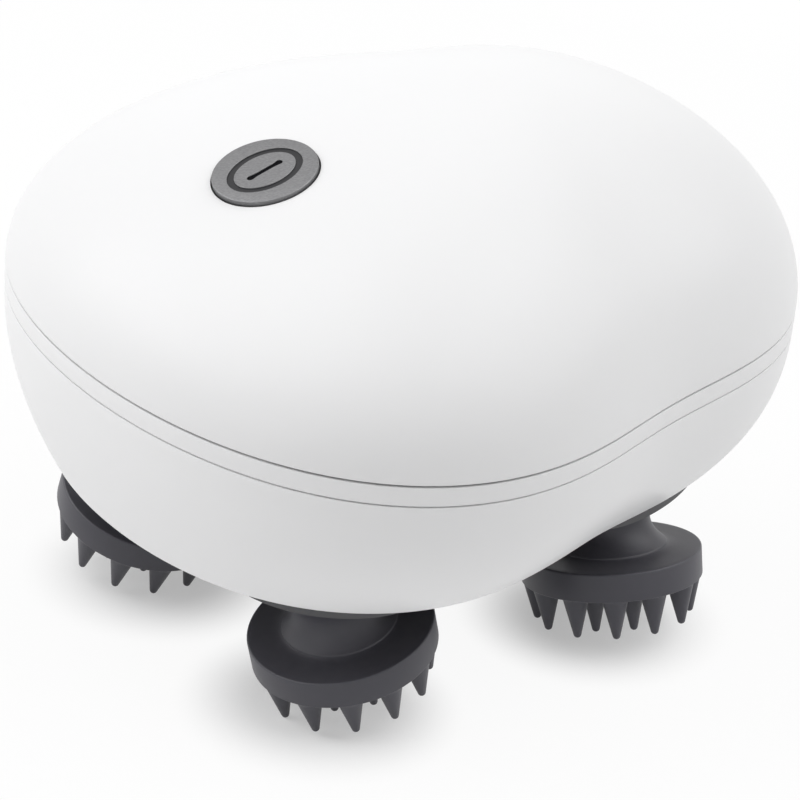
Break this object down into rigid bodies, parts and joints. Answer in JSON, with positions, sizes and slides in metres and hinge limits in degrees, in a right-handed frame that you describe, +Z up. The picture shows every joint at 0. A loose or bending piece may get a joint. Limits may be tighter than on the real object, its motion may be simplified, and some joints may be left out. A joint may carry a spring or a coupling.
{
  "type": "electric scalp massager",
  "caption": "Hand-held electric scalp massager: white pebble-shaped body with a round metal power button on top, standing on tilted silicone kneading heads with rings of soft tines.",
  "frame": {"origin": "on the floor, under the middle of the body's length and width, with the tine tips at z 0", "axes": "+Z up out of the dome; -Y towards the broad end with the power button; +Y towards the narrow end with the charge port; X across, and the outside is symmetric about X 0"},
  "size_m": [0.1156, 0.1268, 0.0896],
  "materials": {
    "white_shell": "satin moulded, fine sheen",
    "charcoal_silicone": "matt silicone",
    "base_plastic": "fine moulded grain",
    "brushed_cap": "brushed, engraved marks",
    "steel": "ground",
    "bronze": "sintered",
    "acetal": "moulded, natural",
    "black_plastic": "moulded",
    "seal_rubber": "matt",
    "white_silicone": "matt silicone",
    "board": "solder mask",
    "cell_wrap": "shrink wrap"
  },
  "bodies": {
    "housing": {"top_cover": "white_shell", "trim_ring": "white_shell", "cover_gasket": "seal_rubber", "lower_casing": "white_shell", "base_plate": "base_plastic", "base_gasket": "seal_rubber", "gear_deck": "acetal", "base_screws": "steel", "cover_screws": "steel", "lower_bushes": "bronze", "upper_bushes": "bronze", "shaft_seals": "seal_rubber", "central_pin": "steel", "second_pin": "steel", "first_pin": "steel", "motor_can": "steel", "motor_end_cap": "black_plastic", "motor_screws": "steel", "button_cup": "acetal", "stem_seal": "seal_rubber", "switch_board": "board", "tact_switch": "black_plastic", "battery_cell": "cell_wrap", "battery_cradle": "acetal", "battery_straps": "black_plastic", "main_board": "board", "board_parts": "black_plastic", "charge_board": "board", "charge_socket": "steel", "charge_screws": "steel", "motor_leads": "seal_rubber", "battery_leads": "seal_rubber", "switch_leads": "seal_rubber"},
    "rotor": {"motor_shaft": "steel", "motor_pinion": "bronze"},
    "first_gear_body": {"first_gear": "acetal"},
    "second_gear_body": {"second_gear": "acetal"},
    "central_gear_body": {"central_gear": "acetal"},
    "power_button": {"button_cap": "brushed_cap", "button_stem": "acetal", "switch_plunger": "black_plastic"},
    "port_plug_body": {"port_plug": "white_silicone"},
    "output_front_right": {"output_shaft_front_right": "steel", "output_gear_front_right": "acetal"},
    "head_body_front_right": {"head_front_right": "charcoal_silicone", "hub_front_right": "black_plastic"},
    "output_back_right": {"output_shaft_back_right": "steel", "output_gear_back_right": "acetal"},
    "head_body_back_right": {"head_back_right": "charcoal_silicone", "hub_back_right": "black_plastic"},
    "output_back_left": {"output_shaft_back_left": "steel", "output_gear_back_left": "acetal"},
    "head_body_back_left": {"head_back_left": "charcoal_silicone", "hub_back_left": "black_plastic"},
    "output_front_left": {"output_shaft_front_left": "steel", "output_gear_front_left": "acetal"},
    "head_body_front_left": {"head_front_left": "charcoal_silicone", "hub_front_left": "black_plastic"}
  },
  "joints": [
    {"name": "central_spin", "type": "hinge", "parent": "housing", "child": "central_gear_body", "pos_m": [0, -0.0031, 0.04], "axis": [0, 0, 1], "continuous": true},
    {"name": "second_spin", "type": "hinge", "parent": "housing", "child": "second_gear_body", "pos_m": [0, 0.0257, 0.04], "axis": [0, 0, 1], "continuous": true},
    {"name": "first_spin", "type": "hinge", "parent": "housing", "child": "first_gear_body", "pos_m": [0.01099, 0.0126, 0.04], "axis": [0, 0, 1], "continuous": true},
    {"name": "rotor_spin", "type": "hinge", "parent": "housing", "child": "rotor", "pos_m": [-0.00378, 0.01, 0.04], "axis": [0, 0, 1], "continuous": true},
    {"name": "output_spin_front_right", "type": "hinge", "parent": "housing", "child": "output_front_right", "pos_m": [0.0233, -0.0312, 0.04], "axis": [0, 0, 1], "continuous": true},
    {"name": "output_spin_back_right", "type": "hinge", "parent": "housing", "child": "output_back_right", "pos_m": [0.0233, 0.025, 0.04], "axis": [0, 0, 1], "continuous": true},
    {"name": "output_spin_back_left", "type": "hinge", "parent": "housing", "child": "output_back_left", "pos_m": [-0.0233, 0.025, 0.04], "axis": [0, 0, 1], "continuous": true},
    {"name": "output_spin_front_left", "type": "hinge", "parent": "housing", "child": "output_front_left", "pos_m": [-0.0233, -0.0312, 0.04], "axis": [0, 0, 1], "continuous": true},
    {"name": "head_pull_front_right", "type": "slide", "parent": "output_front_right", "child": "head_body_front_right", "axis": [0.0449, 0.2549, -0.9659], "range_m": [0, 0.009]},
    {"name": "head_pull_back_right", "type": "slide", "parent": "output_back_right", "child": "head_body_back_right", "axis": [0.2582, -0.0181, -0.9659], "range_m": [0, 0.009]},
    {"name": "head_pull_back_left", "type": "slide", "parent": "output_back_left", "child": "head_body_back_left", "axis": [0, -0.2588, -0.9659], "range_m": [0, 0.009]},
    {"name": "head_pull_front_left", "type": "slide", "parent": "output_front_left", "child": "head_body_front_left", "axis": [-0.2563, -0.036, -0.9659], "range_m": [0, 0.009]},
    {"name": "button_press", "type": "slide", "parent": "housing", "child": "power_button", "axis": [0, 0.301, -0.9536], "range_m": [0, 0.0005], "stiffness_N_per_m": 1500},
    {"name": "plug_pull", "type": "slide", "parent": "housing", "child": "port_plug_body", "axis": [0, 1, 0], "range_m": [0, 0.008]}
  ],
  "couplings": [
    {"joint": "second_spin", "follows": "central_spin", "ratio": -5},
    {"joint": "first_spin", "follows": "central_spin", "ratio": 18.75},
    {"joint": "rotor_spin", "follows": "central_spin", "ratio": -75},
    {"joint": "output_spin_front_right", "follows": "central_spin", "ratio": -1.6071},
    {"joint": "output_spin_back_right", "follows": "central_spin", "ratio": -1.6071},
    {"joint": "output_spin_back_left", "follows": "central_spin", "ratio": -1.6071},
    {"joint": "output_spin_front_left", "follows": "central_spin", "ratio": -1.6071}
  ]
}
